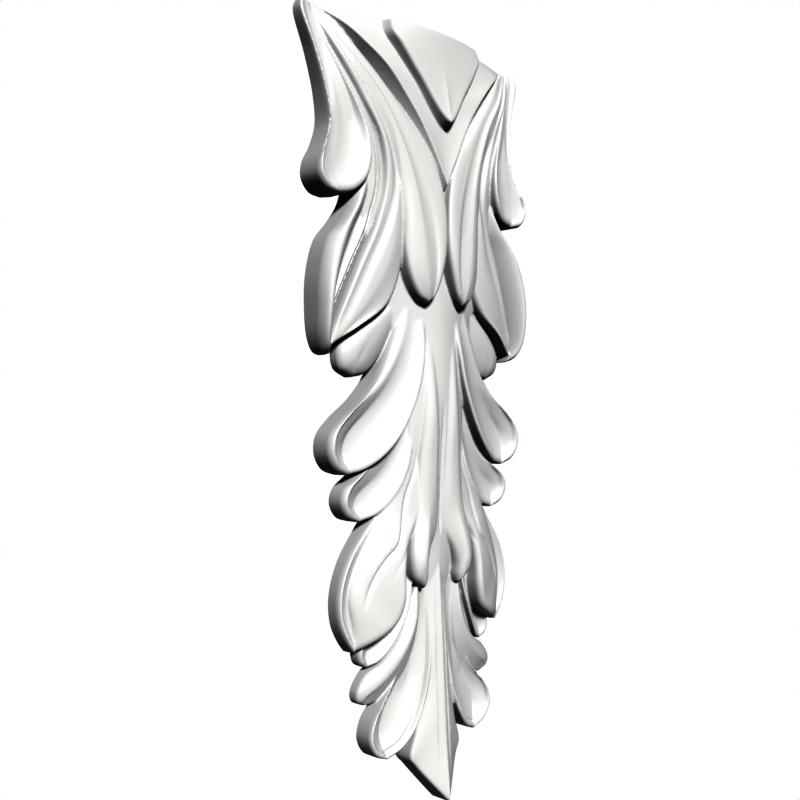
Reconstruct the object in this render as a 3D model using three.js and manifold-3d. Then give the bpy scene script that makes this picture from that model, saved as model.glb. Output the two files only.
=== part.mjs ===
// Carved acanthus onlay: a tall, mirror-symmetric relief with a flat back, carved in one piece.
// Millimetres. +X is to the right, +Z is up, the carving faces -Y and the back lies on Y = 0.
// The origin is on the back, on the mirror plane, 150 below the top edge.
import * as THREE from "three";
import { mergeVertices } from "three/addons/utils/BufferGeometryUtils.js";
import Module from "manifold-3d";

// Driving dimensions
const HEIGHT = 298.6;
const WIDTH = 122.8;
const RELIEF = 20.77;
const TIP_LIFT = 6;
const TIP_LIFT_LENGTH = 17;
const BACK_SPARE = 2;
const SECTIONS = 10;
const SHOULDER_PLACES = [0, 0.3, 1];
const MIDDLE_PLACE = 0.45;
const RIM_RISE = 2.2;
const RIM_DROP = 4;
const RIM_AT_TIP = 0.4;

// The carving is drawn 298.6 high, from 150 above the origin down, 61.4 to each side and 20.77
// deep: every control point below is [across, up, depth] on that drawing, and three scales bring
// it to the sizes above.
const DRAWN = { height: 298.6, top: 150, half: 61.4, depth: 20.77 };
const ACROSS = WIDTH / 2 / DRAWN.half;
const UP = HEIGHT / DRAWN.height;
const DEPTH = RELIEF / DRAWN.depth;
const LOWEST = DRAWN.top * UP - HEIGHT;
const COLOUR = 0xf2f1ee;
const WELD = 1e-4;
const OUTER = 0;
const INNER = 1;

// Each carved form has an outer edge, an inner edge and a floor or ridge line between them, all
// running from its root to its tip. `falls` shape the slopes from the two edges to the line: 1 is
// a flat facet, 2 and more a hollow or a dome. `shoulders` round the two edges over, `rim` raises a
// bead of `rimWidth` along the outer edge, and `draft` leans the walls out towards the back.
const centreForms = {
  band: {
    edge: [
      [52.4, 150, 1.8], [44.4, 144.5, 7.9], [37.4, 139.2, 11], [28.6, 131.8, 14.1],
      [19.8, 121.8, 15.7], [13.2, 112.8, 17.1], [7, 102.2, 18.2], [0, 89.6, 18.6],
    ],
    line: [[0, 150, 10.4], [0, 128, 13.8], [0, 112, 16], [0, 96, 18]],
    falls: [2, 2],
    shoulders: [1, 1],
    draft: 0.95,
  },
  block: {
    edge: [
      [24.6, 150, 12.8], [25, 145, 14.6], [21.4, 139.6, 16.2], [17, 133.6, 17.2],
      [12, 127.2, 18.3], [7.8, 121.2, 19.3], [4.4, 116.9, 20.2], [1.8, 114.4, 21],
      [0, 113.5, 21.6],
    ],
    line: [[0, 150, 16.2], [0, 133, 17.8], [0, 118, 20.2]],
    falls: [2, 2],
    shoulders: [1.8, 1.8],
    draft: 0.4,
  },
  stem: {
    edge: [
      [33, 84, 6], [31, 62, 8], [27, 44, 8], [19, 24, 9.4], [16, 4, 10.8], [16.4, -14, 10.3],
      [17, -32, 9], [15, -54, 7], [6, -84, 4],
    ],
    line: [
      [0, 84, 12], [0, 62, 12.6], [0, 40, 14.1], [0, 5, 14.9], [0, -28, 13], [0, -60, 11],
      [0, -84, 8],
    ],
    falls: [2, 2],
    shoulders: [1.6, 1.6],
  },
  tip: {
    edge: [
      [2.6, -44, 9], [4, -64, 10], [5.6, -90, 10.4], [8.4, -108, 10], [11.6, -121, 8.6],
      [14, -130, 8.4], [11.4, -133.8, 9], [6, -141, 12], [0, -148.6, 15.6],
    ],
    line: [[0, -44, 10.4], [0, -64, 11.8], [0, -96, 13], [0, -126, 14.2], [0, -146, 15.8]],
    falls: [1.2, 1.2],
    shoulders: [0.8, 0.8],
  },
};

const sideForms = {
  leafBody: {
    outer: [
      [59.6, 150, 1.8], [55.4, 130, 4], [49, 108, 6], [40, 92, 7.4], [37.6, 78, 8],
      [34, 60, 8.6],
    ],
    inner: [
      [48, 150, 1.2], [30, 134, 7.6], [13, 114, 12], [2, 95, 14.5], [-1, 75, 14.2],
      [-1, 60, 10.4],
    ],
    line: [[56, 150, 1.6], [44, 128, 8.2], [30, 108, 11.6], [21, 85, 12.6], [14, 66, 11.4]],
    falls: [2, 2],
    shoulders: [1.6, 1.6],
  },
  tongueRim: {
    outer: [
      [56, 150, 2.2], [42.5, 134, 9.2], [29, 120, 13], [16.5, 100, 16.3], [9.6, 80, 17.8],
      [7, 62, 18.6], [8.4, 45, 17.4],
    ],
    inner: [
      [53, 150, 2.6], [45.4, 144, 6], [36.4, 135.4, 8.4], [27.2, 126, 10.8], [18.8, 117, 12.8],
      [11, 106.4, 15.6], [4.8, 96, 17.3], [1.2, 84, 18.2], [0.8, 64, 18.4], [5.8, 48, 17.4],
      [8.4, 45, 17.4],
    ],
    line: [
      [54.6, 150, 2.2], [40.4, 134, 9.4], [26.4, 120, 13.4], [13.4, 100, 16.6], [5.2, 80, 18.8],
      [3.8, 62, 19.4], [7, 48.6, 18.4],
    ],
    falls: [2, 2],
    shoulders: [1.6, 1],
  },
  tongue: {
    outer: [
      [56.2, 150, 2.2], [46.2, 134, 8.4], [36.6, 120, 12], [25.4, 98, 14], [21.6, 76, 14.4],
      [20.6, 62, 15.2], [18.4, 52.6, 16.2], [14.4, 46, 16.8], [9.6, 43.6, 17],
    ],
    inner: [
      [54.6, 150, 1.8], [41.4, 134, 9.2], [27.8, 120, 13.2], [15, 100, 16.5], [8.4, 80, 18],
      [6, 64, 18.4], [5.4, 54, 18.2], [6.4, 47, 17.6], [9.6, 43.6, 17],
    ],
    line: [
      [56, 150, 2.2], [43.4, 134, 9.8], [31.4, 120, 13.8], [20, 98, 16.8], [15, 78, 18.4],
      [13, 62, 19], [11.6, 52, 18.9],
    ],
    falls: [2, 2],
    shoulders: [1.4, 1.6],
  },
  scroll: {
    outer: [
      [57.4, 150, 2], [49, 134, 8], [39, 118, 11.5], [31.5, 104, 12.7], [29.5, 88, 12.3],
      [33, 72, 11.4], [41, 55, 10], [48, 38, 8.1], [52.4, 25.4, 6.1],
    ],
    inner: [
      [56.6, 150, 1.8], [45.4, 134, 8.4], [34, 118, 12.1], [23, 98, 14], [19, 78, 13.6],
      [18.8, 61, 12.6], [26, 43.5, 12.8], [39.6, 34, 12], [52.4, 25.4, 6.1],
    ],
    line: [
      [57.6, 150, 2.2], [47.2, 134, 9], [36, 118, 12.5], [28, 100, 14.5], [24.4, 80, 14.9],
      [27, 60, 14], [36, 44, 12], [46, 32, 8.8], [52, 26, 6.4],
    ],
    falls: [2, 2],
    shoulders: [1.6, 2.4],
  },
  scrollRib: {
    outer: [
      [57.6, 150, 1.8], [49.6, 134, 7.6], [40.4, 118, 11.5], [33, 104, 12.1], [31, 88, 11.7],
      [34.6, 72, 10.8], [42.4, 55, 9.2], [49.4, 38, 7.5], [52.4, 25.6, 6.1],
    ],
    inner: [
      [58, 150, 1.8], [48.2, 134, 8.2], [38, 118, 11.7], [30, 104, 12.7], [28, 88, 12.5],
      [31.4, 72, 11.6], [39.4, 55, 10], [47.4, 38, 7.9], [52.4, 25.6, 6.1],
    ],
    line: [
      [57, 150, 2.4], [48.4, 134, 8.8], [39, 118, 12.5], [31.5, 104, 13.7], [29.5, 88, 13.5],
      [33, 72, 12.6], [41, 55, 11], [48.4, 38, 8.7], [52.4, 25.6, 6.3],
    ],
    falls: [2, 2],
    shoulders: [0.4, 1.6],
  },
  scrollWeb: {
    outer: [
      [38, 112, 6], [37, 96, 7], [36.8, 84, 7.4], [42.6, 70, 7.2], [48.4, 54, 6.6],
      [52.6, 40, 6], [52.8, 26.2, 5.9],
    ],
    inner: [
      [34, 116, 11], [31, 100, 11.9], [31, 86, 11.2], [35, 70, 10.4], [43, 53, 8.7],
      [49.4, 38, 7.1], [52.8, 26.2, 5.9],
    ],
    line: [
      [36.4, 114, 9], [34.8, 98, 9], [34.6, 84, 8.2], [39.6, 69, 6.9], [46, 53, 5.9],
      [51, 38, 5.4], [52.8, 26.8, 5.3],
    ],
    falls: [1.6, 1.6],
    shoulders: [0.4, 1.6],
  },
  scrollFold: {
    outer: [
      [36, 98, 3], [39.4, 86, 7.4], [42, 78.6, 9.2], [47.2, 71.6, 10], [53.2, 64.6, 10.4],
      [57, 52, 10.6], [57.6, 40, 10.2], [56.6, 29.6, 8.8], [54, 24.4, 7.4], [50.6, 23.2, 6],
    ],
    inner: [
      [30, 98, 5], [32.6, 88, 8], [35.4, 79, 7.8], [40, 70, 7.2], [45, 58, 6.4], [49.2, 46, 6],
      [51.6, 35, 5.8], [51.8, 29, 5.8], [50.6, 23.2, 6],
    ],
    line: [
      [32, 98, 6], [36, 87, 10.2], [40.4, 78.6, 11.6], [46.6, 70, 12.8], [51.6, 58.8, 13.4],
      [54.4, 47.4, 13.4], [54.8, 37.4, 12.4], [54, 31, 10.6], [52.4, 26.6, 8],
    ],
    falls: [2.2, 1.5],
    shoulders: [3, 0.6],
  },
  bulb: {
    outer: [
      [60.2, 150, 5], [61.4, 146.4, 5.8], [56.4, 132, 6.8], [52.6, 118, 7.4], [51.8, 107, 8.4],
      [54.6, 98.5, 10], [58.2, 92, 11], [58.6, 86.6, 11], [55.2, 82, 11.2], [49.6, 80.8, 11.8],
    ],
    inner: [
      [56.4, 150, 3.6], [54.6, 145.6, 5.4], [49.8, 134, 9.2], [42, 118, 12.8], [36, 104, 15],
      [35.4, 94.5, 15.4], [37.6, 87.4, 14.8], [42.4, 82.6, 13.2], [49.6, 80.8, 11.8],
    ],
    line: [
      [57.6, 150, 3], [57, 146, 3.8], [51.6, 132, 6], [48.4, 118, 7.8], [47.8, 107, 8.4],
      [49.4, 98.5, 8.8], [51.2, 93, 9],
    ],
    falls: [2.4, 2.4],
    shoulders: [1.8, 3.6],
    rim: 1.1,
    rimWidth: 3.6,
  },
  smallLobe: {
    outer: [
      [19, 50, 4.2], [32, 41, 4], [41, 33, 4.4], [45.4, 25.6, 4.6], [44.4, 18.8, 4.2],
      [38.4, 15.4, 4],
    ],
    inner: [[17, 38, 6], [22, 28, 6], [27.4, 21, 5.4], [32, 16.8, 4.6], [38.4, 15.4, 4]],
    line: [[18, 45, 9.4], [29, 34.4, 9.2], [35.6, 26, 8], [37.6, 22, 7]],
    falls: [2.2, 2.2],
    shoulders: [1.6, 1.6],
  },
  upperScoop: {
    outer: [
      [17, 48, 10], [23.4, 30, 9], [29.6, 16, 8.4], [38, 7, 8.6], [46.8, 0.6, 9],
      [53, -5.8, 9.3], [53.8, -12.4, 9.3], [50.4, -18, 9], [44, -20.4, 9],
    ],
    inner: [
      [7.6, 46, 11.6], [8.4, 35, 15], [9.8, 25, 16.8], [12, 14.6, 17.2], [16, 4.4, 17],
      [22.4, -6.4, 16], [30, -14.4, 13.8], [37, -18.8, 11], [44, -20.4, 9],
    ],
    line: [
      [14, 46, 11.4], [18.4, 30, 12], [25, 15, 10.4], [33, 4.6, 8], [41.2, -2.8, 6.2],
      [47, -9.2, 5.6],
    ],
    falls: [2.2, 2.2],
    shoulders: [2.2, 3],
    rim: 1.3,
    rimWidth: 4.4,
  },
  lowerScoop: {
    outer: [
      [19, 9, 6], [24, -5, 5.4], [31, -15.6, 6.8], [40, -21.6, 7.6], [45.4, -25.6, 7.9],
      [46.8, -30.6, 7.9], [43.8, -35.8, 7.7], [37.6, -38, 7.9],
    ],
    inner: [
      [10, 9, 12], [12.8, -6, 12.8], [16.8, -20, 13.2], [22.6, -29, 12.4], [29.6, -35.4, 10.2],
      [37.6, -38, 7.9],
    ],
    line: [[13.6, 9, 10.4], [18, -5, 9.6], [27.4, -19.6, 7.2], [36, -26.2, 5.6], [41, -30.2, 5]],
    falls: [2.2, 2.2],
    shoulders: [2, 2.6],
    rim: 1.2,
    rimWidth: 4,
  },
  drop: {
    outer: [
      [20, -16, 6], [26.4, -31, 6], [35.6, -42, 5.6], [43.4, -52.6, 5.6], [47.4, -64, 5.6],
      [47, -74, 5.8], [43.6, -81.4, 6.2], [40.2, -85.8, 6.6],
    ],
    inner: [
      [7, -8, 12], [8, -24, 13], [11, -37, 13.6], [17.8, -47.6, 14.4], [20, -58, 15],
      [20.8, -69, 15.2], [24, -76.6, 14], [30, -81, 12.2], [35.6, -83.8, 9.6],
      [40.2, -85.8, 6.6],
    ],
    line: [
      [18, -13, 10], [26.6, -31, 8.8], [34, -43.4, 7], [40, -54, 5.6], [43, -64, 4.8],
      [41.4, -75, 5.4],
    ],
    falls: [1.8, 0.6],
    shoulders: [1.6, 3.4],
    rim: 0.9,
    rimWidth: 4.6,
  },
  fold: {
    outer: [
      [13, 40, 10], [11, 20, 11.6], [10.8, 2, 12.4], [12.2, -16, 12.4], [13.6, -32, 12],
      [15.8, -43.4, 12.8], [17.2, -53.6, 13.8], [15.4, -61, 13.6], [9.8, -65.4, 13],
    ],
    inner: [
      [2, 40, 10], [1.2, 20, 12], [0.8, 2, 12.8], [0.8, -18, 12.2], [0.8, -35, 12],
      [2.6, -44.6, 12.2], [6.6, -51.4, 12.8], [8.6, -57.4, 13], [8.6, -62, 13],
      [9.8, -65.4, 13],
    ],
    line: [
      [7, 40, 12.6], [6, 20, 14.8], [5.8, 2, 15.9], [6.4, -18, 14.8], [8, -35, 14.4],
      [10.6, -46.4, 15.8], [12.4, -54.4, 16.2], [12, -60, 15.2],
    ],
    falls: [2, 2],
    shoulders: [1.6, 1.6],
  },
  lowBody: {
    outer: [[24, -38, 5], [29, -76, 4.3], [26, -92, 4.1], [23, -108, 3.4], [16, -122, 3]],
    inner: [[2, -38, 8.7], [3, -76, 8.3], [4, -92, 8.1], [5, -108, 7.8], [9, -122, 5.6]],
    line: [[13, -38, 8.7], [14, -76, 7.6], [13, -92, 6.6], [12, -108, 5.4], [12, -120, 4.6]],
    falls: [2, 2],
    shoulders: [1.6, 1.6],
  },
  budScoop: {
    outer: [
      [26, -64, 5.5], [31, -76.6, 4.8], [35.2, -82.8, 4.8], [37, -86.6, 4.8], [36, -90.6, 4.6],
      [32.4, -92.8, 4.6],
    ],
    inner: [
      [13, -58, 11], [15.6, -70, 12], [19.4, -79, 11.4], [24, -86.4, 9.6], [28.2, -91, 7.2],
      [32.4, -92.8, 4.6],
    ],
    line: [[20, -62, 8], [24, -74, 6], [29.6, -82, 4], [33, -86.6, 3.1]],
    falls: [2.2, 2.2],
    shoulders: [1.6, 1.6],
    rim: 0.8,
    rimWidth: 3,
  },
  petal: {
    outer: [
      [15, -70, 9], [20, -84, 7.4], [26.6, -91, 5.4], [33.4, -95, 4.6], [37.6, -101, 4.4],
      [37, -104.6, 3.8], [33.4, -106.6, 3.2],
    ],
    inner: [
      [8.6, -62, 8], [9.6, -78, 8.6], [12, -89, 7.8], [17, -98.6, 6], [23, -104, 4.4],
      [29, -106.6, 3.4], [33.4, -106.6, 3.2],
    ],
    line: [
      [11, -62, 10.4], [12.6, -77, 11.2], [17, -87, 10.4], [22.8, -94.6, 8.9], [29.6, -100, 7],
      [35, -102.6, 5],
    ],
    falls: [1.5, 1],
    shoulders: [1.2, 0.6],
  },
  lowScoop: {
    outer: [
      [11, -66, 7.6], [14.4, -84, 7.2], [20, -97, 7], [27.4, -106.4, 7.4], [32.8, -112.6, 7.9],
      [34.4, -119, 7.9], [31, -125.2, 7.6], [24.6, -128, 7.6],
    ],
    inner: [
      [3.4, -58, 10], [3.8, -80, 12], [5.4, -98, 12.2], [8.6, -110, 11.6], [13.4, -119.4, 11],
      [18.6, -125.2, 9.4], [24.6, -128, 7.6],
    ],
    line: [
      [7.4, -62, 9.2], [10.2, -84, 7.6], [16, -97.6, 5.6], [23.2, -107, 4.6], [28.8, -117, 3.8],
    ],
    falls: [2.2, 2.2],
    shoulders: [1.4, 1.6],
    rim: 0.9,
    rimWidth: 3.2,
  },
};

const wasm = await Module();
wasm.setup();

function curve(points) {
  const placed = points.map(([x, z, h]) => new THREE.Vector3(x * ACROSS, z * UP, h * DEPTH));
  return new THREE.CatmullRomCurve3(placed, false, "centripetal");
}

// How high the rim stands at a share of the form's length: nothing at the root, less at the tip
function rimFade(along) {
  return Math.min(1, RIM_RISE * along) ** 2 * Math.min(1, RIM_DROP * (1 - along) + RIM_AT_TIP);
}

// One side of a section, from the edge in to the line
function slope(edge, line, form, side, along) {
  const reach = Math.hypot(edge.x - line.x, edge.y - line.y);
  const radius = Math.min(form.shoulders[side], reach);
  const rimWidth = Math.min(form.rimWidth ?? radius, reach);
  const insides = SHOULDER_PLACES.map((place) => place * radius);
  if (form.rim) insides.push(rimWidth);
  insides.push(rimWidth + (reach - rimWidth) * MIDDLE_PLACE, reach);
  return insides.map((inside) => {
    const share = reach > WELD ? 1 - inside / reach : 0;
    const point = line.clone().lerp(edge, share);
    point.z = line.z + (edge.z - line.z) * share ** form.falls[side];
    if (form.rim && side === OUTER && inside < rimWidth) {
      point.z += form.rim * rimFade(along) * DEPTH * Math.sin((Math.PI * inside) / rimWidth);
    }
    if (inside < radius) point.z -= radius * (1 - Math.sqrt(1 - (1 - inside / radius) ** 2));
    return point;
  });
}

// Height of the back: below the wall, where one flat cut trims it, but sloping off the wall at the
// lowest point, which curls forward
function backHeight(z) {
  const along = (LOWEST + TIP_LIFT_LENGTH - z) / TIP_LIFT_LENGTH;
  return Math.max(TIP_LIFT * along, -BACK_SPARE);
}

// Where the wall under a point of the carved face meets the back
function footPoint(point, line, draft) {
  const outward = new THREE.Vector3(point.x - line.x, point.y - line.y, 0).normalize();
  const foot = point.clone().addScaledVector(outward, draft * point.z);
  foot.z = backHeight(foot.y);
  return foot;
}

function formSolid(form) {
  const outer = curve(form.outer);
  const inner = curve(form.inner);
  const line = curve(form.line);
  const meets = outer.points.at(-1).distanceTo(inner.points.at(-1)) < WELD;
  const corners = [];
  const triangles = [];
  let columns = 0;
  for (let i = 0; i <= SECTIONS; i += 1) {
    const along = i / SECTIONS;
    const middle = line.getPoint(along);
    const left = slope(outer.getPoint(along), middle, form, OUTER, along);
    const right = slope(inner.getPoint(along), middle, form, INNER, along);
    const section = [...left, ...right.slice(0, -1).reverse()];
    columns = section.length;
    for (const point of section) {
      const foot = footPoint(point, middle, form.draft ?? 0);
      corners.push(point.x, -point.z, point.y, foot.x, -foot.z, foot.y);
    }
  }
  const last = columns - 1;
  // at a tip where the two edges meet, the section is folded shut along its line
  const column = (i, j) => (meets && i === SECTIONS ? Math.min(j, last - j) : j);
  const onFront = (i, j) => 2 * (i * columns + column(i, j));
  const onBack = (i, j) => onFront(i, j) + 1;
  const face = (a, b, c) => {
    if (a !== b && b !== c && c !== a) triangles.push(a, c, b);
  };
  const quad = (a, b, c, d) => {
    face(a, b, c);
    face(a, c, d);
  };
  for (let i = 0; i < SECTIONS; i += 1) {
    for (let j = 0; j < last; j += 1) {
      quad(onFront(i, j), onFront(i + 1, j), onFront(i + 1, j + 1), onFront(i, j + 1));
      quad(onBack(i, j), onBack(i, j + 1), onBack(i + 1, j + 1), onBack(i + 1, j));
    }
    quad(onFront(i, 0), onBack(i, 0), onBack(i + 1, 0), onFront(i + 1, 0));
    quad(onFront(i, last), onFront(i + 1, last), onBack(i + 1, last), onBack(i, last));
  }
  for (let j = 0; j < last; j += 1) {
    quad(onFront(0, j), onFront(0, j + 1), onBack(0, j + 1), onBack(0, j));
    if (!meets) {
      quad(onFront(SECTIONS, j), onBack(SECTIONS, j), onBack(SECTIONS, j + 1), onFront(SECTIONS, j + 1));
    }
  }
  return { corners, triangles };
}

function toManifold({ corners, triangles }, mirrored) {
  const vertProperties = Float32Array.from(corners);
  const triVerts = Uint32Array.from(triangles);
  if (mirrored) {
    for (let i = 0; i < vertProperties.length; i += 3) vertProperties[i] *= -1;
    triVerts.reverse();
  }
  return new wasm.Manifold(new wasm.Mesh({ numProp: 3, vertProperties, triVerts }));
}

function geometryManifold(geometry) {
  geometry.deleteAttribute("normal");
  geometry.deleteAttribute("uv");
  const merged = mergeVertices(geometry);
  const vertProperties = Float32Array.from(merged.attributes.position.array);
  const triVerts = Uint32Array.from(merged.index.array);
  return new wasm.Manifold(new wasm.Mesh({ numProp: 3, vertProperties, triVerts }));
}

const mirrorPoint = ([x, z, h]) => [-x, z, h];

function carve() {
  let carving = null;
  const join = (solid) => {
    carving = carving ? carving.add(solid) : solid;
  };
  for (const form of Object.values(centreForms)) {
    const whole = { ...form, outer: form.edge, inner: form.edge.map(mirrorPoint) };
    join(toManifold(formSolid(whole), false));
  }
  for (const form of Object.values(sideForms)) {
    const solid = formSolid(form);
    join(toManifold(solid, false));
    join(toManifold(solid, true));
  }
  const spare = new THREE.BoxGeometry(2 * WIDTH, 2 * BACK_SPARE, 2 * HEIGHT);
  spare.translate(0, BACK_SPARE, 0);
  return carving.subtract(geometryManifold(spare));
}

function toMesh(solid, name) {
  const { vertProperties, triVerts } = solid.getMesh();
  const geometry = new THREE.BufferGeometry();
  geometry.setAttribute("position", new THREE.BufferAttribute(vertProperties, 3));
  geometry.setIndex(new THREE.BufferAttribute(triVerts, 1));
  geometry.computeVertexNormals();
  const material = new THREE.MeshStandardMaterial({ color: COLOUR, roughness: 0.45, metalness: 0 });
  const mesh = new THREE.Mesh(geometry, material);
  mesh.name = name;
  return mesh;
}

const onlay = new THREE.Group();
onlay.add(toMesh(carve(), "carved_onlay"));

export default onlay;
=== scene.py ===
"""Carved acanthus onlay in satin white paint, under a soft key light on a plain pale stage."""

import logging
import math
from dataclasses import dataclass
from enum import Enum
from typing import Any

import bmesh
import bpy
from mathutils import Matrix, Vector
from mathutils.kdtree import KDTree


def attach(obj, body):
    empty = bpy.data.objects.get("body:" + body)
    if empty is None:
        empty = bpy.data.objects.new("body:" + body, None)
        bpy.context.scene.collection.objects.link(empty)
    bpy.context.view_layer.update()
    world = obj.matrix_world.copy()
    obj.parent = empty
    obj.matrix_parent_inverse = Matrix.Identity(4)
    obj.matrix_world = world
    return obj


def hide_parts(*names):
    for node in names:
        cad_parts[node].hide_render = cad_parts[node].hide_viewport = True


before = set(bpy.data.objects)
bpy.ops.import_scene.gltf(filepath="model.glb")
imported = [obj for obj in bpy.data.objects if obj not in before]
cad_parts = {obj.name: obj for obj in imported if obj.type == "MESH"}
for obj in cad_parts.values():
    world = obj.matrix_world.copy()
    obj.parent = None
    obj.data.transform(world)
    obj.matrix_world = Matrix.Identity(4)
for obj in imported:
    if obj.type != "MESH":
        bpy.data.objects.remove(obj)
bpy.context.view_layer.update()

LOG = logging.getLogger("carved_onlay")
NODE = "carved_onlay"
PIECE = "carved_acanthus_onlay"

Point = tuple[float, float, float]
Colour = tuple[float, float, float, float]

WHITE: Colour = (1, 1, 1, 1)


class Place(Enum):
    """Where a carved form lies on the board."""

    AXIS = "across the mirror plane"
    SIDES = "on both sides of it"


@dataclass(frozen=True)
class Form:
    """One carved form, drawn on the board as [across, up, depth] from its root to its tip.

    outer and inner are its edges, and line is the hollow or the ridge between them. The slope from
    an edge to the line is a straight facet at a fall of 1, and a hollow or a dome above that. rim
    is the height of a rounded bead along the outer edge. The shoulders round the edges over the
    walls, and draft is how far a wall leans out for each unit that it goes down.
    """

    outer: list[Point]
    inner: list[Point]
    line: list[Point]
    outer_fall: float = 2.0
    inner_fall: float = 2.0
    rim: float = 0.0
    rim_width: float = 3.4
    shoulder: float = 1.6
    inner_shoulder: float = 1.6
    draft: float = 0.0
    place: Place = Place.SIDES


def axial(edge: list[Point], line: list[Point], fall: float = 2.0, **shape: float) -> Form:
    """A form on the mirror plane, whose inner edge mirrors its outer one.

    Args:
        edge: its outer edge.
        line: the hollow or the ridge between the edges.
        fall: the fall of both slopes.
        **shape: its other sizes, where a shoulder counts for both edges.

    Returns:
        The form.
    """
    other = [(-across, up, depth) for across, up, depth in edge]
    shoulder = shape.pop("shoulder", Form.shoulder)
    return Form(
        edge, other, line, fall, fall,
        shoulder=shoulder, inner_shoulder=shoulder, place=Place.AXIS, **shape,
    )


class Spline:
    """A centripetal Catmull-Rom curve through control points, read by a share from 0 to 1."""

    def __init__(self, points: list[Point]) -> None:
        """Keep the control points, from root to tip."""
        self.points = [Vector(point) for point in points]

    def at(self, share: float) -> Vector:
        """A point of the curve.

        Args:
            share: how far along it lies, from 0 at the first control point to 1 at the last.

        Returns:
            The point.
        """
        points = self.points
        spans = len(points) - 1
        first = min(int(share * spans), spans - 1)
        before = points[first - 1] if first else points[0] * 2 - points[1]
        after = points[first + 2] if first + 2 <= spans else points[-1] * 2 - points[-2]
        return self._span(before, points[first], points[first + 1], after, share * spans - first)

    def length(self, steps: int = 20) -> float:
        """The length of the curve.

        Args:
            steps: how many straight steps it is measured in.

        Returns:
            The sum of the steps.
        """
        places = [self.at(i / steps) for i in range(steps + 1)]
        return sum((start - end).length for start, end in zip(places, places[1:]))

    @staticmethod
    def _span(before: Vector, start: Vector, end: Vector, after: Vector, weight: float) -> Vector:
        """A point between two control points, with the tangents that their neighbours give.

        Args:
            before: the control point before the span.
            start: the one that the span starts from.
            end: the one that it ends at.
            after: the control point after the span.
            weight: how far along the span the point lies, from 0 to 1.

        Returns:
            The point.
        """
        step = math.sqrt((end - start).length) or 1.0
        step_in = math.sqrt((start - before).length) or step
        step_out = math.sqrt((after - end).length) or step
        leave = (start - before) / step_in - (end - before) / (step_in + step)
        leave = (leave + (end - start) / step) * step
        arrive = (end - start) / step - (after - start) / (step + step_out)
        arrive = (arrive + (after - end) / step_out) * step
        square = (end - start) * 3 - leave * 2 - arrive
        cube = (start - end) * 2 + leave + arrive
        return start + leave * weight + square * weight**2 + cube * weight**3


TOP_FORMS: dict[str, Form] = {
    "band": axial(
        [
            (52.4, 150, 1.8), (44.4, 144.5, 7.9), (37.4, 139.2, 11), (28.6, 131.8, 14.1),
            (19.8, 121.8, 15.7), (13.2, 112.8, 17.1), (7, 102.2, 18.2), (0, 89.6, 18.6),
        ],
        [(0, 150, 10.4), (0, 128, 13.8), (0, 112, 16), (0, 96, 18)],
        shoulder=1.0,
        draft=0.95,
    ),
    "block": axial(
        [
            (24.6, 150, 12.8), (25, 145, 14.6), (21.4, 139.6, 16.2), (17, 133.6, 17.2),
            (12, 127.2, 18.3), (7.8, 121.2, 19.3), (4.4, 116.9, 20.2), (1.8, 114.4, 21),
            (0, 113.5, 21.6),
        ],
        [(0, 150, 16.2), (0, 133, 17.8), (0, 118, 20.2)],
        shoulder=1.8,
        draft=0.4,
    ),
}

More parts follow.
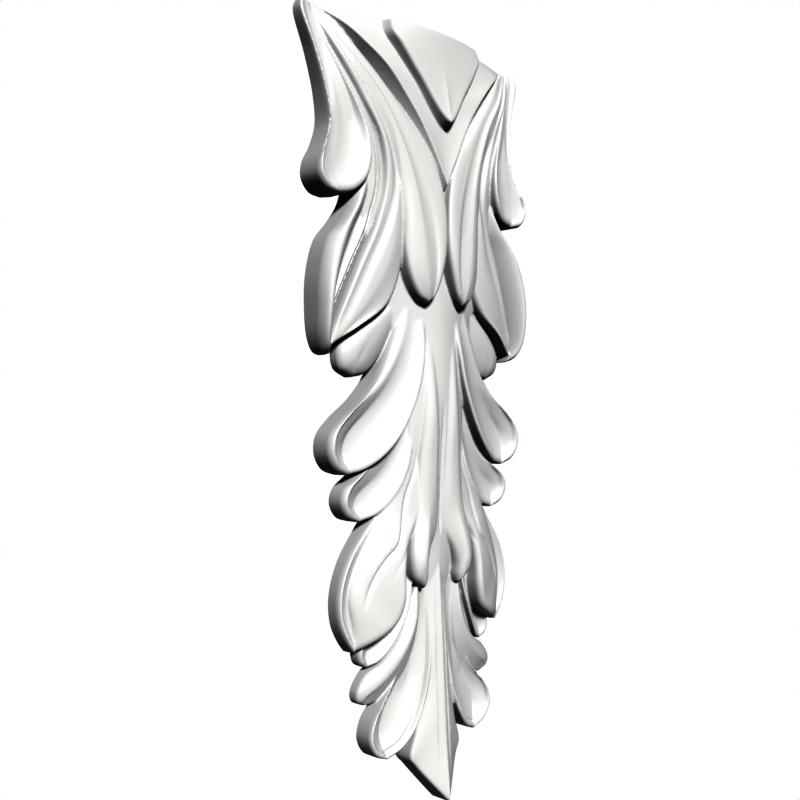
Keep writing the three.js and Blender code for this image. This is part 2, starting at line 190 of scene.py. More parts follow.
UPPER_LEAF: dict[str, Form] = {
    "leaf body": Form(
        [
            (59.6, 150, 1.8), (55.4, 130, 4), (49, 108, 6), (40, 92, 7.4),
            (37.6, 78, 8), (34, 60, 8.6),
        ],
        [
            (48, 150, 1.2), (30, 134, 7.6), (13, 114, 12), (2, 95, 14.5),
            (-1, 75, 14.2), (-1, 60, 10.4),
        ],
        [(56, 150, 1.6), (44, 128, 8.2), (30, 108, 11.6), (21, 85, 12.6), (14, 66, 11.4)],
    ),
    "tongue rim": Form(
        [
            (56, 150, 2.2), (42.5, 134, 9.2), (29, 120, 13), (16.5, 100, 16.3),
            (9.6, 80, 17.8), (7, 62, 18.6), (8.4, 45, 17.4),
        ],
        [
            (53, 150, 2.6), (45.4, 144, 6), (36.4, 135.4, 8.4), (27.2, 126, 10.8),
            (18.8, 117, 12.8), (11, 106.4, 15.6), (4.8, 96, 17.3), (1.2, 84, 18.2),
            (0.8, 64, 18.4), (5.8, 48, 17.4), (8.4, 45, 17.4),
        ],
        [
            (54.6, 150, 2.2), (40.4, 134, 9.4), (26.4, 120, 13.4), (13.4, 100, 16.6),
            (5.2, 80, 18.8), (3.8, 62, 19.4), (7, 48.6, 18.4),
        ],
        inner_shoulder=1.0,
    ),
    "tongue": Form(
        [
            (56.2, 150, 2.2), (46.2, 134, 8.4), (36.6, 120, 12), (25.4, 98, 14),
            (21.6, 76, 14.4), (20.6, 62, 15.2), (18.4, 52.6, 16.2), (14.4, 46, 16.8),
            (9.6, 43.6, 17),
        ],
        [
            (54.6, 150, 1.8), (41.4, 134, 9.2), (27.8, 120, 13.2), (15, 100, 16.5),
            (8.4, 80, 18), (6, 64, 18.4), (5.4, 54, 18.2), (6.4, 47, 17.6), (9.6, 43.6, 17),
        ],
        [
            (56, 150, 2.2), (43.4, 134, 9.8), (31.4, 120, 13.8), (20, 98, 16.8),
            (15, 78, 18.4), (13, 62, 19), (11.6, 52, 18.9),
        ],
        shoulder=1.4,
    ),
    "scroll": Form(
        [
            (57.4, 150, 2), (49, 134, 8), (39, 118, 11.5), (31.5, 104, 12.7),
            (29.5, 88, 12.3), (33, 72, 11.4), (41, 55, 10), (48, 38, 8.1), (52.4, 25.4, 6.1),
        ],
        [
            (56.6, 150, 1.8), (45.4, 134, 8.4), (34, 118, 12.1), (23, 98, 14),
            (19, 78, 13.6), (18.8, 61, 12.6), (26, 43.5, 12.8), (39.6, 34, 12), (52.4, 25.4, 6.1),
        ],
        [
            (57.6, 150, 2.2), (47.2, 134, 9), (36, 118, 12.5), (28, 100, 14.5),
            (24.4, 80, 14.9), (27, 60, 14), (36, 44, 12), (46, 32, 8.8), (52, 26, 6.4),
        ],
        inner_shoulder=2.4,
    ),
    "scroll web": Form(
        [
            (38, 112, 6), (37, 96, 7), (36.8, 84, 7.4), (42.6, 70, 7.2),
            (48.4, 54, 6.6), (52.6, 40, 6), (52.8, 26.2, 5.9),
        ],
        [
            (34, 116, 11), (31, 100, 11.9), (31, 86, 11.2), (35, 70, 10.4),
            (43, 53, 8.7), (49.4, 38, 7.1), (52.8, 26.2, 5.9),
        ],
        [
            (36.4, 114, 9), (34.8, 98, 9), (34.6, 84, 8.2), (39.6, 69, 6.9),
            (46, 53, 5.9), (51, 38, 5.4), (52.8, 26.8, 5.3),
        ],
        1.6, 1.6,
        shoulder=0.4,
    ),
    "scroll fold": Form(
        [
            (36, 98, 3), (39.4, 86, 7.4), (42, 78.6, 9.2), (47.2, 71.6, 10), (53.2, 64.6, 10.4),
            (57, 52, 10.6), (57.6, 40, 10.2), (56.6, 29.6, 8.8), (54, 24.4, 7.4), (50.6, 23.2, 6),
        ],
        [
            (30, 98, 5), (32.6, 88, 8), (35.4, 79, 7.8), (40, 70, 7.2), (45, 58, 6.4),
            (49.2, 46, 6), (51.6, 35, 5.8), (51.8, 29, 5.8), (50.6, 23.2, 6),
        ],
        [
            (32, 98, 6), (36, 87, 10.2), (40.4, 78.6, 11.6), (46.6, 70, 12.8), (51.6, 58.8, 13.4),
            (54.4, 47.4, 13.4), (54.8, 37.4, 12.4), (54, 31, 10.6), (52.4, 26.6, 8),
        ],
        2.2, 1.5,
        shoulder=3.0,
        inner_shoulder=0.6,
    ),
    "bulb": Form(
        [
            (60.2, 150, 5), (61.4, 146.4, 5.8), (56.4, 132, 6.8), (52.6, 118, 7.4),
            (51.8, 107, 8.4), (54.6, 98.5, 10), (58.2, 92, 11), (58.6, 86.6, 11),
            (55.2, 82, 11.2), (49.6, 80.8, 11.8),
        ],
        [
            (56.4, 150, 3.6), (54.6, 145.6, 5.4), (49.8, 134, 9.2), (42, 118, 12.8), (36, 104, 15),
            (35.4, 94.5, 15.4), (37.6, 87.4, 14.8), (42.4, 82.6, 13.2), (49.6, 80.8, 11.8),
        ],
        [
            (57.6, 150, 3), (57, 146, 3.8), (51.6, 132, 6), (48.4, 118, 7.8), (47.8, 107, 8.4),
            (49.4, 98.5, 8.8), (51.2, 93, 9),
        ],
        2.4, 2.4,
        rim=1.1,
        rim_width=3.6,
        shoulder=1.8,
        inner_shoulder=3.6,
    ),
    "small lobe": Form(
        [
            (19, 50, 4.2), (32, 41, 4), (41, 33, 4.4), (45.4, 25.6, 4.6),
            (44.4, 18.8, 4.2), (38.4, 15.4, 4),
        ],
        [(17, 38, 6), (22, 28, 6), (27.4, 21, 5.4), (32, 16.8, 4.6), (38.4, 15.4, 4)],
        [(18, 45, 9.4), (29, 34.4, 9.2), (35.6, 26, 8), (37.6, 22, 7)],
        2.2, 2.2,
    ),
}

MIDDLE_LEAF: dict[str, Form] = {
    "stem": axial(
        [
            (33, 84, 6), (31, 62, 8), (27, 44, 8), (19, 24, 9.4), (16, 4, 10.8),
            (16.4, -14, 10.3), (17, -32, 9), (15, -54, 7), (6, -84, 4),
        ],
        [
            (0, 84, 12), (0, 62, 12.6), (0, 40, 14.1), (0, 5, 14.9), (0, -28, 13), (0, -60, 11),
            (0, -84, 8),
        ],
    ),
    "upper scoop": Form(
        [
            (17, 48, 10), (23.4, 30, 9), (29.6, 16, 8.4), (38, 7, 8.6),
            (46.8, 0.6, 9), (53, -5.8, 9.3), (53.8, -12.4, 9.3), (50.4, -18, 9), (44, -20.4, 9),
        ],
        [
            (7.6, 46, 11.6), (8.4, 35, 15), (9.8, 25, 16.8), (12, 14.6, 17.2), (16, 4.4, 17),
            (22.4, -6.4, 16), (30, -14.4, 13.8), (37, -18.8, 11), (44, -20.4, 9),
        ],
        [
            (14, 46, 11.4), (18.4, 30, 12), (25, 15, 10.4), (33, 4.6, 8), (41.2, -2.8, 6.2),
            (47, -9.2, 5.6),
        ],
        2.2, 2.2,
        rim=1.3,
        rim_width=4.4,
        shoulder=2.2,
        inner_shoulder=3.0,
    ),
    "lower scoop": Form(
        [
            (19, 9, 6), (24, -5, 5.4), (31, -15.6, 6.8), (40, -21.6, 7.6),
            (45.4, -25.6, 7.9), (46.8, -30.6, 7.9), (43.8, -35.8, 7.7), (37.6, -38, 7.9),
        ],
        [
            (10, 9, 12), (12.8, -6, 12.8), (16.8, -20, 13.2), (22.6, -29, 12.4),
            (29.6, -35.4, 10.2), (37.6, -38, 7.9),
        ],
        [(13.6, 9, 10.4), (18, -5, 9.6), (27.4, -19.6, 7.2), (36, -26.2, 5.6), (41, -30.2, 5)],
        2.2, 2.2,
        rim=1.2,
        rim_width=4.0,
        shoulder=2.0,
        inner_shoulder=2.6,
    ),
    "drop": Form(
        [
            (20, -16, 6), (26.4, -31, 6), (35.6, -42, 5.6), (43.4, -52.6, 5.6),
            (47.4, -64, 5.6), (47, -74, 5.8), (43.6, -81.4, 6.2), (40.2, -85.8, 6.6),
        ],
        [
            (7, -8, 12), (8, -24, 13), (11, -37, 13.6), (17.8, -47.6, 14.4),
            (20, -58, 15), (20.8, -69, 15.2), (24, -76.6, 14), (30, -81, 12.2),
            (35.6, -83.8, 9.6), (40.2, -85.8, 6.6),
        ],
        [
            (18, -13, 10), (26.6, -31, 8.8), (34, -43.4, 7), (40, -54, 5.6),
            (43, -64, 4.8), (41.4, -75, 5.4),
        ],
        1.8, 0.6,
        rim=0.9,
        rim_width=4.6,
        shoulder=1.6,
        inner_shoulder=3.4,
    ),
    "fold": Form(
        [
            (13, 40, 10), (11, 20, 11.6), (10.8, 2, 12.4), (12.2, -16, 12.4), (13.6, -32, 12),
            (15.8, -43.4, 12.8), (17.2, -53.6, 13.8), (15.4, -61, 13.6), (9.8, -65.4, 13),
        ],
        [
            (2, 40, 10), (1.2, 20, 12), (0.8, 2, 12.8), (0.8, -18, 12.2), (0.8, -35, 12),
            (2.6, -44.6, 12.2), (6.6, -51.4, 12.8), (8.6, -57.4, 13), (8.6, -62, 13),
            (9.8, -65.4, 13),
        ],
        [
            (7, 40, 12.6), (6, 20, 14.8), (5.8, 2, 15.9), (6.4, -18, 14.8), (8, -35, 14.4),
            (10.6, -46.4, 15.8), (12.4, -54.4, 16.2), (12, -60, 15.2),
        ],
    ),
}

LOWER_LEAF: dict[str, Form] = {
    "low body": Form(
        [(24, -38, 5), (29, -76, 4.3), (26, -92, 4.1), (23, -108, 3.4), (16, -122, 3)],
        [(2, -38, 8.7), (3, -76, 8.3), (4, -92, 8.1), (5, -108, 7.8), (9, -122, 5.6)],
        [(13, -38, 8.7), (14, -76, 7.6), (13, -92, 6.6), (12, -108, 5.4), (12, -120, 4.6)],
    ),
    "bud scoop": Form(
        [
            (26, -64, 5.5), (31, -76.6, 4.8), (35.2, -82.8, 4.8), (37, -86.6, 4.8),
            (36, -90.6, 4.6), (32.4, -92.8, 4.6),
        ],
        [
            (13, -58, 11), (15.6, -70, 12), (19.4, -79, 11.4), (24, -86.4, 9.6),
            (28.2, -91, 7.2), (32.4, -92.8, 4.6),
        ],
        [(20, -62, 8), (24, -74, 6), (29.6, -82, 4), (33, -86.6, 3.1)],
        2.2, 2.2,
        rim=0.8,
        rim_width=3.0,
    ),
    "petal": Form(
        [
            (15, -70, 9), (20, -84, 7.4), (26.6, -91, 5.4), (33.4, -95, 4.6),
            (37.6, -101, 4.4), (37, -104.6, 3.8), (33.4, -106.6, 3.2),
        ],
        [
            (8.6, -62, 8), (9.6, -78, 8.6), (12, -89, 7.8), (17, -98.6, 6),
            (23, -104, 4.4), (29, -106.6, 3.4), (33.4, -106.6, 3.2),
        ],
        [
            (11, -62, 10.4), (12.6, -77, 11.2), (17, -87, 10.4), (22.8, -94.6, 8.9),
            (29.6, -100, 7), (35, -102.6, 5),
        ],
        1.5, 1.0,
        shoulder=1.2,
        inner_shoulder=0.6,
    ),
    "low scoop": Form(
        [
            (11, -66, 7.6), (14.4, -84, 7.2), (20, -97, 7), (27.4, -106.4, 7.4),
            (32.8, -112.6, 7.9), (34.4, -119, 7.9), (31, -125.2, 7.6), (24.6, -128, 7.6),
        ],
        [
            (3.4, -58, 10), (3.8, -80, 12), (5.4, -98, 12.2), (8.6, -110, 11.6),
            (13.4, -119.4, 11), (18.6, -125.2, 9.4), (24.6, -128, 7.6),
        ],
        [(7.4, -62, 9.2), (10.2, -84, 7.6), (16, -97.6, 5.6), (23.2, -107, 4.6), (28.8, -117, 3.8)],
        2.2, 2.2,
        rim=0.9,
        rim_width=3.2,
        shoulder=1.4,
    ),
    "tip": axial(
        [
            (2.6, -44, 9), (4, -64, 10), (5.6, -90, 10.4), (8.4, -108, 10), (11.6, -121, 8.6),
            (14, -130, 8.4), (11.4, -133.8, 9), (6, -141, 12), (0, -148.6, 15.6),
        ],
        [(0, -44, 10.4), (0, -64, 11.8), (0, -96, 13), (0, -126, 14.2), (0, -146, 15.8)],
        1.2,
        shoulder=0.8,
    ),
}

CARVING: dict[str, dict[str, Form]] = {
    "top": TOP_FORMS,
    "upper leaf": UPPER_LEAF,
    "middle leaf": MIDDLE_LEAF,
    "lower leaf": LOWER_LEAF,
}


@dataclass(frozen=True)
class Cut:
    """A fine line worked into the carved face, drawn as (across, up) from its root to its tip.

    depth is how far it goes in, or how high it stands if negative, and width is half its breadth.
    It rises from nothing over the share start of its length and falls to nothing over the share
    end. A soft line is a round hollow, the others are cut to a V. step is the distance between
    the places along it that are worked.
    """

    points: list[tuple[float, float]]
    depth: float
    width: float
    start: float = 0.25
    end: float = 0.25
    soft: bool = False
    step: float = 0.3

    def depths(self, tree: KDTree) -> dict[int, float]:
        """How deep the line goes at each vertex near it.

        Args:
            tree: the vertices at (across, 0, up), with the two halves folded together.

        Returns:
            The depth in millimetres, by vertex index.
        """
        rail = Spline([(across, up, 0) for across, up in self.points])
        steps = math.ceil(rail.length() / self.step)
        nearest: dict[int, tuple[float, float]] = {}
        for i in range(steps + 1):
            share = i / steps
            across, up, _ = rail.at(share)
            for _, index, distance in tree.find_range((across, 0, up), self.width):
                if index not in nearest or distance < nearest[index][0]:
                    nearest[index] = (distance, share)
        return {index: self._depth(*place) for index, place in nearest.items()}

    def _depth(self, distance: float, share: float) -> float:
        """The depth near the line.

        Args:
            distance: how far from the line.
            share: how far along it, from 0 to 1.

        Returns:
            The depth in millimetres.
        """
        ease_in = min(1.0, share / self.start) if self.start else 1.0
        ease_out = min(1.0, (1 - share) / self.end) if self.end else 1.0
        near = 1 - distance / self.width
        section = math.sin(near * math.pi / 2) ** 2 if self.soft else near
        return self.depth * section * ease_in * ease_out


def beside(
    form: Form, inset: float, depth: float, width: float, inner: bool = False,
    spans: int = 24, **run: Any,
) -> Cut:
    """A line that follows an edge of a form.

    Args:
        form: the form.
        inset: how far inside the edge it runs.
        depth: how deep it goes.
        width: half its breadth.
        inner: whether it follows the inner edge and not the outer one.
        spans: how many spans it is drawn in.
        **run: the start, end and softness of the line.

    Returns:
        The line.
    """
    edge = Spline(form.inner if inner else form.outer)
    line = Spline(form.line)
    points = []
    for i in range(spans + 1):
        on_edge = edge.at(i / spans)
        inward = (line.at(i / spans) - on_edge).xy
        spot = on_edge.xy + inward.normalized() * min(inset, inward.length)
        points.append((spot.x, spot.y))
    return Cut(points, depth, width, **run)


CUTS: dict[str, Cut] = {
    "stem groove": Cut([(0, 8), (0, -8), (0, -26), (0, -46)], 1.0, 1.1, 0.35, 0.1),
    "scroll slit": Cut(
        [(40.4, 118), (33, 104), (31, 88), (34.6, 72), (42.4, 55), (49.4, 38), (52.2, 27)],
        1.0, 0.9, 0.3, 0.1,
    ),
    "scroll lip": Cut(
        [(38, 118), (30.6, 104), (28.6, 88), (32.2, 72), (40.2, 55), (47.8, 38), (51.4, 28)],
        -0.7, 2.0, 0.3, 0.3, soft=True,
    ),
    "scroll valley": Cut(
        [(34.4, 118), (26.8, 104), (24.8, 88), (28.4, 72), (36.4, 55), (45, 38), (50, 30)],
        0.8, 2.4, 0.3, 0.5, soft=True,
    ),
    "drop crease": Cut(
        [
            (10, -6), (14, -20), (18.4, -30), (20.6, -38.8), (23.4, -47.2), (28.3, -51.8),
            (32.6, -57), (36.3, -64.3), (37.8, -70.5),
        ],
        0.9, 1.1, 0.3, 0.2,
    ),
    "drop line": Cut([(14, -37), (17, -45), (21.6, -52), (29, -62)], 0.35, 0.9, 0.4, 0.5),
    "low scoop floor": beside(
        LOWER_LEAF["low scoop"], 2.6, 0.7, 1.1, inner=True, start=0.35, end=0.0
    ),
    "low scoop rim": beside(
        LOWER_LEAF["low scoop"], 1.2, -0.4, 1.2, inner=True, start=0.35, end=0.0, soft=True
    ),
    "tip line": Cut([(1.6, -60), (2, -84), (2.4, -112), (2.8, -142)], 0.5, 0.9, 0.2, 0.15),
    "tip hollow": Cut([(3.8, -60), (4.6, -80), (5.8, -98), (7, -114)], 0.4, 1.3, 0.2, 0.5),
}


@dataclass
class Relief:
    """The carving as one solid: its forms joined, their creases eased and the back planed flat.

    Sizes are in millimetres. Each form's face has along by across facets, with points closer than
    weld made one, and its bead grows from the root at rim_rise and falls at rim_drop, to the share
    rim_at_tip at the tip. The walls run back_spare past the back, but the lowest point curls
    forward off it, by lift_slope for each unit below lift_from. The joined forms become one skin
    in steps of voxel, which easing rounds of smoothing soften. A line is cut only where the skin
    faces the front by face_facing or more. The back is cut flat to within plane_tolerance.
    """

    millimetre: float = 0.001
    along: int = 72
    across: int = 44
    weld: float = 0.01
    rim_rise: float = 2.2
    rim_drop: float = 4.0
    rim_at_tip: float = 0.4
    back_spare: float = 2.0
    lift_from: float = -131.6
    lift_slope: float = 6.5 / 18.4
    voxel: float = 0.32
    quick_voxel: float = 0.8
    easing: int = 11
    easing_factor: float = 0.5
    most_triangles: int = 190000
    face_facing: float = 0.3
    plane_tolerance: float = 0.0001

    def build(self, name: str) -> bpy.types.Object:
        """Carve every form and join them.

        Args:
            name: the piece's name.

        Returns:
            The finished piece, at the origin.
        """
        joined = bmesh.new()
        for forms in CARVING.values():
            for form in forms.values():
                self._add(joined, form)
        piece = self._object(name, joined)
        self._ease(piece)
        dense = piece.copy()
        dense.data = piece.data.copy()
        bpy.context.scene.collection.objects.link(dense)
        self._thin(piece)
        self._plane_back(piece)
        self._shade_as(piece, dense)
        return piece

    def _add(self, joined: bmesh.types.BMesh, form: Form) -> None:
        """Add one form's solid to the carving, and its mirror image where it has one.

        Args:
            joined: the carving so far.
            form: the form.
        """
        solid = self._solid(form)
        sides = [1, -1] if form.place is Place.SIDES else [1]
        for side in sides:
            part = bpy.data.meshes.new("form")
            turned = solid.copy()
            bmesh.ops.scale(turned, vec=(side, 1, 1), verts=turned.verts)
            bmesh.ops.recalc_face_normals(turned, faces=turned.faces)
            turned.to_mesh(part)
            joined.from_mesh(part)
            turned.free()
            bpy.data.meshes.remove(part)
        solid.free()

    def _solid(self, form: Form) -> bmesh.types.BMesh:
        """Make a form's carved face, and its walls down past the back.

        Args:
            form: the form.

        Returns:
            The form's solid, closed but for the end of its walls.
        """
        rails = [Spline(form.outer), Spline(form.line), Spline(form.inner)]
        rows = [[rail.at(i / self.along) for rail in rails] for i in range(self.along + 1)]
        solid = bmesh.new()
        lean = solid.verts.layers.float_vector.new("lean")
        bmesh.ops.create_grid(solid, x_segments=self.along, y_segments=self.across, size=0.5)
        # The grid runs from -0.5 to 0.5 both ways.
        for vert in solid.verts:
            share = vert.co.x + 0.5
            row = rows[round(share * self.along)]
            across, up, depth = self._carved(form, row, share, vert.co.y * 2)
            vert.co = Vector((across, -depth, up)) * self.millimetre
            outward = Vector((across - row[1].x, 0, up - row[1].y)).normalized()
            vert[lean] = outward * form.draft * depth * self.millimetre
        bmesh.ops.remove_doubles(solid, verts=solid.verts, dist=self.weld * self.millimetre)
        walls = bmesh.ops.extrude_face_region(solid, geom=solid.faces[:], use_keep_orig=True)
        for item in walls["geom"]:
            if isinstance(item, bmesh.types.BMVert):
                item.co += item[lean]
                item.co.y = self._back(item.co.z)
        return solid

    def _carved(self, form: Form, row: list[Vector], along: float, place: float) -> Vector:
        """A point of a form's carved face.

        Args:
            form: the form.
            row: its outer edge, line and inner edge at this share of its length.
            along: the share.
            place: -1 on the outer edge, 0 on the line and 1 on the inner edge.

        Returns:
            The point, across, up and in depth.
        """
        outer, line, inner = row
        growth = min(1, self.rim_rise * along) ** 2
        fading = min(1, self.rim_drop * (1 - along) + self.rim_at_tip)
        rim = form.rim * growth * fading
        edge, fall = (outer, form.outer_fall) if place < 0 else (inner, form.inner_fall)
        share = math.sin(abs(place) * math.pi / 2)
        reach = (edge - line).xy.length
        inside = (1 - share) * reach
        point = line.lerp(edge, share)
        point.z = line.z + (edge.z - line.z) * share**fall
        width = min(form.rim_width, reach)
        if form.rim and place < 0 and inside < width:
            point.z += rim * math.sin(math.pi * inside / width)
        radius = min(form.shoulder if place < 0 else form.inner_shoulder, reach)
        if radius and inside < radius:
            point.z -= radius * (1 - math.sqrt(1 - (1 - inside / radius) ** 2))
        return point

    def _back(self, z: float) -> float:
        """Where the walls end: behind the back, but in front of it at the lowest point.

        Args:
            z: the height, in metres.

        Returns:
            The end's Y, in metres.
        """
        lift = self.lift_slope * (self.lift_from - z / self.millimetre)
        return -max(lift, -self.back_spare) * self.millimetre

    def _object(self, name: str, mesh: bmesh.types.BMesh) -> bpy.types.Object:
        """Put a mesh into the scene.

        Args:
            name: the piece's name.
            mesh: its shape, which is freed.

        Returns:
            The piece.
        """
        data = bpy.data.meshes.new(name)
        mesh.to_mesh(data)
        mesh.free()
        piece = bpy.data.objects.new(name, data)
        bpy.context.scene.collection.objects.link(piece)
        return piece

    def _apply(self, piece: bpy.types.Object) -> None:
        """Make the modifiers' result the piece's own mesh.

        Args:
            piece: the piece.
        """
        graph = bpy.context.evaluated_depsgraph_get()
        result = bpy.data.meshes.new_from_object(piece.evaluated_get(graph))
        piece.modifiers.clear()
        piece.data = result

    def _ease(self, piece: bpy.types.Object) -> None:
        """Join the forms into one skin, round its creases and edges and cut its fine lines.

        Args:
            piece: the joined forms.
        """
        skin = piece.modifiers.new("one skin", "REMESH")
        skin.mode = "VOXEL"
        skin.voxel_size = self.voxel * self.millimetre
        skin.use_smooth_shade = True
        easing = piece.modifiers.new("easing", "SMOOTH")
        easing.factor = self.easing_factor
        easing.iterations = self.easing
        self._apply(piece)
        self._cut(piece)

    def _thin(self, piece: bpy.types.Object) -> None:
        """Thin the skin's faces.

        Args:
            piece: the piece.
        """
        thin = piece.modifiers.new("thin", "DECIMATE")
        triangles = 2 * len(piece.data.polygons)
        thin.ratio = min(1.0, self.most_triangles / triangles)
        self._apply(piece)
        LOG.info("skin of %d triangles, thinned to %d", triangles, len(piece.data.polygons))

    def _shade_as(self, piece: bpy.types.Object, dense: bpy.types.Object) -> None:
        """Shade the carved face of the thinned skin as the dense one.

        Args:
            piece: the piece.
            dense: its skin before the thinning, which is deleted.
        """
        shaded = piece.vertex_groups.new(name="carved face")
        front = [v.index for v in piece.data.vertices if v.co.y < -self.millimetre]
        shaded.add(front, 1.0, "REPLACE")
        normals = piece.modifiers.new("normals", "DATA_TRANSFER")
        normals.object = dense
        normals.use_loop_data = True
        normals.data_types_loops = {"CUSTOM_NORMAL"}
        normals.loop_mapping = "POLYINTERP_NEAREST"
        normals.vertex_group = shaded.name
        self._apply(piece)
        piece.vertex_groups.clear()
        skin = dense.data
        bpy.data.objects.remove(dense)
        bpy.data.meshes.remove(skin)

    def _cut(self, piece: bpy.types.Object) -> None:
        """Work the fine lines into the carved face.

        Args:
            piece: the piece.
        """
        vertices = piece.data.vertices
        tree = KDTree(len(vertices))
        for vertex in vertices:
            across, _, up = vertex.co / self.millimetre
            tree.insert((abs(across), 0, up), vertex.index)
        tree.balance()
        total: dict[int, float] = {}
        for cut in CUTS.values():
            for index, depth in cut.depths(tree).items():
                if vertices[index].normal.y < -self.face_facing:
                    total[index] = total.get(index, 0.0) + depth
        for index, depth in total.items():
            vertices[index].co.y += depth * self.millimetre
        LOG.info("%d lines cut into %d vertices", len(CUTS), len(total))

    def _plane_back(self, piece: bpy.types.Object) -> None:
        """Cut the back flat on the wall's plane and close it.

        Args:
            piece: the piece.
        """
        mesh = bmesh.new()
        mesh.from_mesh(piece.data)
        geometry = mesh.verts[:] + mesh.edges[:] + mesh.faces[:]
        bmesh.ops.bisect_plane(
            mesh, geom=geometry, dist=self.plane_tolerance * self.millimetre,
            plane_co=(0, 0, 0), plane_no=(0, 1, 0), clear_outer=True,
        )
        self._drop_specks(mesh)
        rim = [edge for edge in mesh.edges if edge.is_boundary]
        bmesh.ops.triangle_fill(mesh, edges=rim, use_beauty=True)
        bmesh.ops.recalc_face_normals(mesh, faces=mesh.faces)
        for face in mesh.faces:
            face.smooth = True
        for edge in rim:
            edge.smooth = False
        mesh.to_mesh(piece.data)
        mesh.free()

    @staticmethod
    def _drop_specks(mesh: bmesh.types.BMesh) -> None:
        """Delete the specks that aren't joined to the carving.

        Args:
            mesh: the carving.
        """
        foremost = min(mesh.verts, key=lambda vert: vert.co.y)
        reached = {foremost}
        ahead = [foremost]
        while ahead:
            vert = ahead.pop()
            for edge in vert.link_edges:
                other = edge.other_vert(vert)
                if other not in reached:
                    reached.add(other)
                    ahead.append(other)
        specks = [vert for vert in mesh.verts if vert not in reached]
        bmesh.ops.delete(mesh, geom=specks, context="VERTS")


@dataclass(frozen=True)
class Value:
    """A number that varies over the surface: Python's operators on it add Math nodes."""

    maker: "NodeMaker"
    socket: bpy.types.NodeSocket

    def _math(self, operation: str, left: Any, right: Any) -> "Value":
        """Add one Math node.

        Args:
            operation: what it does.
            left: its first value.
            right: its second value.

        Returns:
            Its result.
        """
        settings = {"operation": operation}
        node = self.maker.node("ShaderNodeMath", settings, {0: left, 1: right})
        return Value(self.maker, node.outputs[0])

    def __add__(self, other: Any) -> "Value":
        """self + other."""
        return self._math("ADD", self, other)

    __radd__ = __add__

    def __sub__(self, other: Any) -> "Value":
        """self - other."""
        return self._math("SUBTRACT", self, other)

    def __rsub__(self, other: Any) -> "Value":
        """other - self."""
        return self._math("SUBTRACT", other, self)

    def __mul__(self, other: Any) -> "Value":
        """self * other."""
        return self._math("MULTIPLY", self, other)

    __rmul__ = __mul__


class NodeMaker:
    """Makes the nodes of one tree."""

    def __init__(self, tree: bpy.types.NodeTree) -> None:
        """Keep the tree and empty it."""
        self.tree = tree
        tree.nodes.clear()

    def node(self, kind: str, settings: dict[str, Any], sockets: dict[Any, Any]) -> bpy.types.Node:
        """Make any node.

        Args:
            kind: the node's type.
            settings: its properties, which are set first.
            sockets: a value, a Value or another node's socket for each input.

        Returns:
            The node.
        """
        node = self.tree.nodes.new(kind)
        for name, setting in settings.items():
            setattr(node, name, setting)
        for key, given in sockets.items():
            source = given.socket if isinstance(given, Value) else given
            if isinstance(source, bpy.types.NodeSocket):
                self.tree.links.new(source, node.inputs[key])
            else:
                node.inputs[key].default_value = source
        return node

    def value(self, kind: str, sockets: dict[Any, Any], out: str) -> Value:
        """A node's output, ready for shader maths."""
        return Value(self, self.node(kind, {}, sockets).outputs[out])


# The Mix node's colour sockets go by number, because its other kinds have the same names.
COLOUR_A = 6
COLOUR_B = 7
COLOUR_RESULT = 2

NOISE_MEAN = 0.5


@dataclass(frozen=True)
class SatinPaint:
    """Satin white paint over carved wood: a faint mottle, fine brush marks and a soft gloss.

    The roughness changes by up to half of gloss_by_brush and of gloss_by_mottle each way. The
    marks in the surface are up to relief metres high, and brush_share of them are the brush's.
    """

    light_tone: Colour = (0.875, 0.872, 0.864, 1)
    dark_tone: Colour = (0.83, 0.827, 0.818, 1)
    roughness: float = 0.42
    gloss_by_brush: float = 0.12
    gloss_by_mottle: float = 0.08
    mottle_scale: float = 45.0
    brush_scale: float = 700.0
    brush_stretch: Point = (1, 1, 0.12)
    brush_share: float = 0.7
    grain_scale: float = 1800.0
    noise_detail: float = 2.0
    relief: float = 0.00012
    relief_strength: float = 0.18

    def material(self, name: str) -> bpy.types.Material:
        """Make the paint.

        Args:
            name: the material's name.

        Returns:
            The material.
        """
        material = bpy.data.materials.new(name)
        material.use_nodes = True
        maker = NodeMaker(material.node_tree)
        place = maker.node("ShaderNodeTexCoord", {}, {}).outputs["Object"]
        along = maker.node("ShaderNodeMapping", {}, {"Vector": place, "Scale": self.brush_stretch})
        mottle = self._noise(maker, place, self.mottle_scale)
        brush = self._noise(maker, along.outputs["Vector"], self.brush_scale)
        grain = self._noise(maker, place, self.grain_scale)
        tone = maker.node(
            "ShaderNodeMix", {"data_type": "RGBA"},
            {"Factor": mottle, COLOUR_A: self.light_tone, COLOUR_B: self.dark_tone},
        )
        height = brush * self.brush_share + grain * (1 - self.brush_share)
        bump = maker.node(
            "ShaderNodeBump", {},
            {"Strength": self.relief_strength, "Distance": self.relief, "Height": height},
        )
        gloss = (brush - NOISE_MEAN) * self.gloss_by_brush
        gloss += (mottle - NOISE_MEAN) * self.gloss_by_mottle
        shader = maker.node(
            "ShaderNodeBsdfPrincipled", {},
            {
                "Base Color": tone.outputs[COLOUR_RESULT],
                "Roughness": self.roughness + gloss,
                "Normal": bump.outputs["Normal"],
            },
        )
        maker.node("ShaderNodeOutputMaterial", {}, {"Surface": shader.outputs["BSDF"]})
        return material

    def _noise(self, maker: NodeMaker, place: bpy.types.NodeSocket, scale: float) -> Value:
        """Smooth noise between 0 and 1."""
        sockets = {"Vector": place, "Scale": scale, "Detail": self.noise_detail}
        return maker.value("ShaderNodeTexNoise", sockets, "Fac")


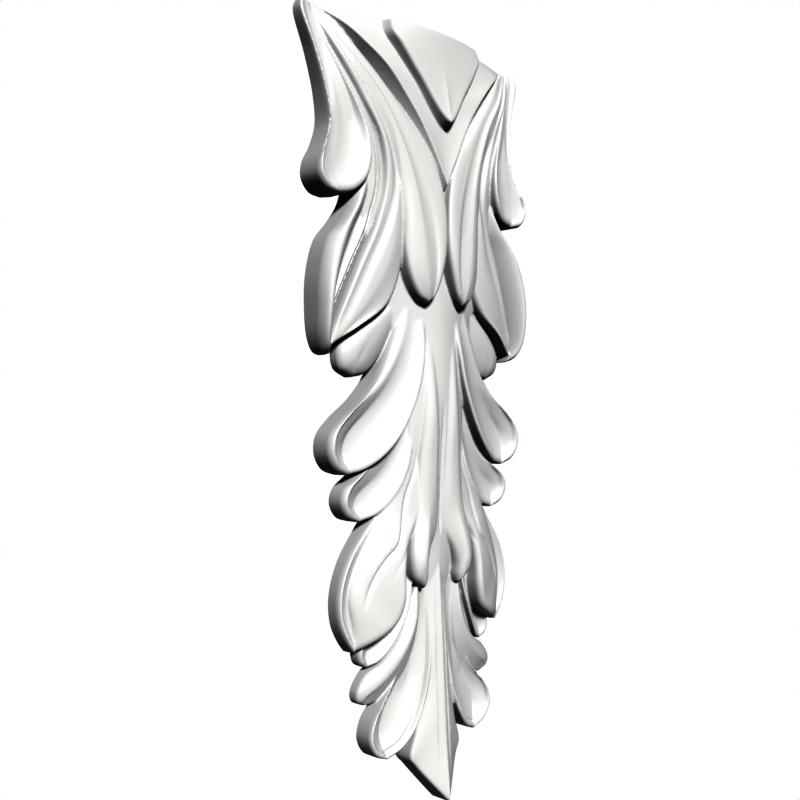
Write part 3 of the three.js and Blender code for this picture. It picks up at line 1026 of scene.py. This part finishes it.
@dataclass
class Studio:
    """A plain pale floor well below the piece, one soft key light and the camera.

    Lengths are in metres. The camera looks level along +Y, and is turned to the right by yaw and
    then about the X axis by tilt. key_direction points at the key light, which spans key_angle as
    seen from the piece, and fill is the brightness of the light from all round. gamma below 1
    gives the picture the contrast of the photograph.
    """

    eye: Point = (-0.279, -0.2669, 0.0029)
    yaw: float = math.radians(45.3)
    tilt: float = math.radians(0.9)
    lens_angle: float = math.radians(45.0)
    key_direction: Point = (-0.358, -0.775, 0.5)
    key_distance: float = 3.0
    key_angle: float = math.radians(12)
    key_power: float = 4.0
    fill: float = 0.03
    floor_drop: float = 0.55
    floor_radius: float = 0.8
    floor_sides: int = 96
    floor_colour: Colour = (0.82, 0.82, 0.82, 1)
    floor_roughness: float = 0.8
    nearest: float = 0.01
    gamma: float = 0.4

    def build(self) -> None:
        """Set the floor, the lights, the camera and how the picture is developed."""
        self._floor()
        self._key()
        self._world()
        self._camera()
        self._view()

    def _floor(self) -> None:
        """A round pale floor that throws no light back up."""
        mesh = bmesh.new()
        bmesh.ops.create_circle(
            mesh, cap_ends=True, segments=self.floor_sides, radius=self.floor_radius
        )
        bmesh.ops.translate(mesh, vec=(0, 0, -self.floor_drop), verts=mesh.verts)
        data = bpy.data.meshes.new("floor")
        mesh.to_mesh(data)
        mesh.free()
        floor = bpy.data.objects.new("floor", data)
        bpy.context.scene.collection.objects.link(floor)
        material = bpy.data.materials.new("floor")
        material.use_nodes = True
        shader = material.node_tree.nodes["Principled BSDF"]
        shader.inputs["Base Color"].default_value = self.floor_colour
        shader.inputs["Roughness"].default_value = self.floor_roughness
        data.materials.append(material)
        floor.visible_diffuse = False

    def _key(self) -> None:
        """The soft key light, high in front and to the left."""
        light = bpy.data.lights.new("key light", "SUN")
        light.angle = self.key_angle
        light.energy = self.key_power
        lamp = bpy.data.objects.new("key light", light)
        towards = Vector(self.key_direction).normalized()
        lamp.location = towards * self.key_distance
        lamp.rotation_euler = towards.to_track_quat("Z", "Y").to_euler()
        bpy.context.scene.collection.objects.link(lamp)

    def _world(self) -> None:
        """White behind the piece, and little fill light on it."""
        world = bpy.data.worlds.new("studio")
        world.use_nodes = True
        bpy.context.scene.world = world
        maker = NodeMaker(world.node_tree)
        seen = maker.node("ShaderNodeLightPath", {}, {}).outputs["Is Camera Ray"]
        white = maker.node("ShaderNodeBackground", {}, {"Color": WHITE, "Strength": 1.0})
        dim = maker.node("ShaderNodeBackground", {}, {"Color": WHITE, "Strength": self.fill})
        shaders = {0: seen, 1: dim.outputs["Background"], 2: white.outputs["Background"]}
        mixed = maker.node("ShaderNodeMixShader", {}, shaders)
        maker.node("ShaderNodeOutputWorld", {}, {"Surface": mixed.outputs["Shader"]})

    def _camera(self) -> None:
        """The camera, at the photograph's angle."""
        data = bpy.data.cameras.new("camera")
        data.sensor_fit = "HORIZONTAL"
        data.angle = self.lens_angle
        data.clip_start = self.nearest
        camera = bpy.data.objects.new("camera", data)
        camera.location = self.eye
        level = Matrix.Rotation(-self.yaw, 3, "Z") @ Matrix.Rotation(math.pi / 2, 3, "X")
        camera.rotation_euler = (Matrix.Rotation(self.tilt, 3, "X") @ level).to_euler()
        bpy.context.scene.collection.objects.link(camera)
        bpy.context.scene.camera = camera

    def _view(self) -> None:
        """Plain tones, with the contrast of the photograph."""
        view = bpy.context.scene.view_settings
        view.view_transform = "Standard"
        view.gamma = self.gamma


def main() -> None:
    """Build the onlay, dress it and set the stage."""
    logging.basicConfig(level=logging.INFO, format="%(name)s: %(message)s")
    onlay = Relief().build(PIECE)
    onlay.data.materials.append(SatinPaint().material("satin white paint"))
    # Its folds throw no light on each other, which keeps the hollows dark.
    onlay.visible_diffuse = False
    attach(onlay, "root")
    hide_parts(NODE)
    LOG.info("%s: %d faces", onlay.name, len(onlay.data.polygons))
    Studio().build()


if __name__ == "__main__":
    main()
